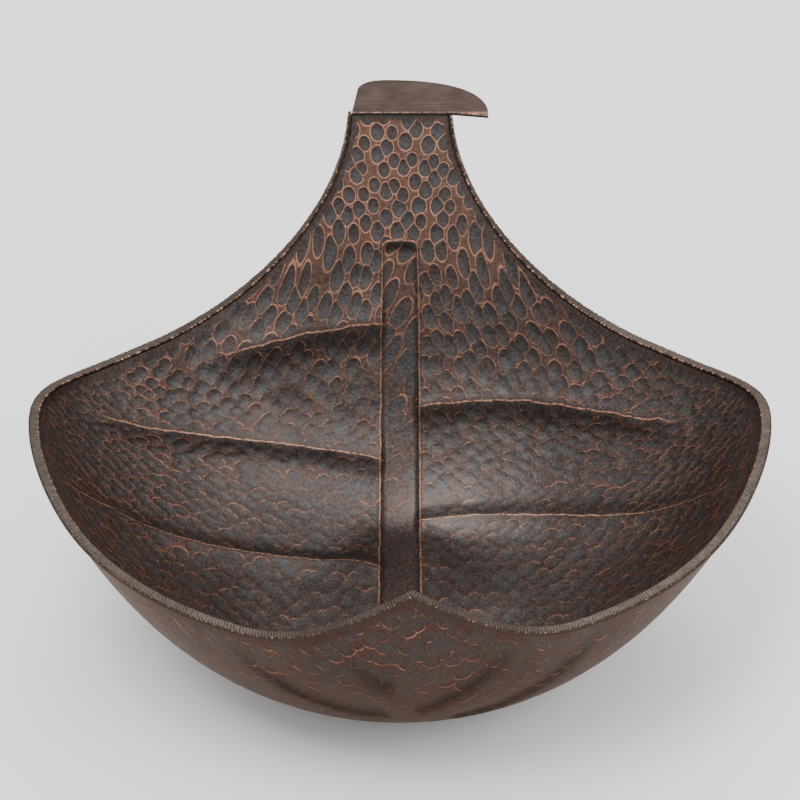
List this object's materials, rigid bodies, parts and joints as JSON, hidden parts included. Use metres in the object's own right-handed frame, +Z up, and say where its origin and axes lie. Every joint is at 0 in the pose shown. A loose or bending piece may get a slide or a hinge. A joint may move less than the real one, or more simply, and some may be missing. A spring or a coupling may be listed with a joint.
{
  "type": "hammered copper bowl",
  "caption": "Leaf-shaped hammered copper bowl with a flat rim strip, a pressed midrib and a tall stem ending in a hooked plate; rests on a flat base.",
  "frame": {"origin": "middle of the flat base, on the surface the bowl stands on", "axes": "+Z up, -Y towards the leaf's tip, +Y towards the stem, +X to the hook's side"},
  "size_m": [0.4394, 0.4355, 0.2525],
  "materials": {
    "hammered_copper": "hammered copper sheet with a dark brown patina, bright copper on the raised edges",
    "copper_bar": "copper bar with a dark patina and bright nicked edges",
    "copper_plate": "smooth copper plate with a brown patina"
  },
  "bodies": {
    "root": {"leaf_bowl": "hammered_copper", "rim_strip_left": "copper_bar", "rim_strip_right": "copper_bar", "stem_tip": "copper_plate"}
  },
  "joints": []
}
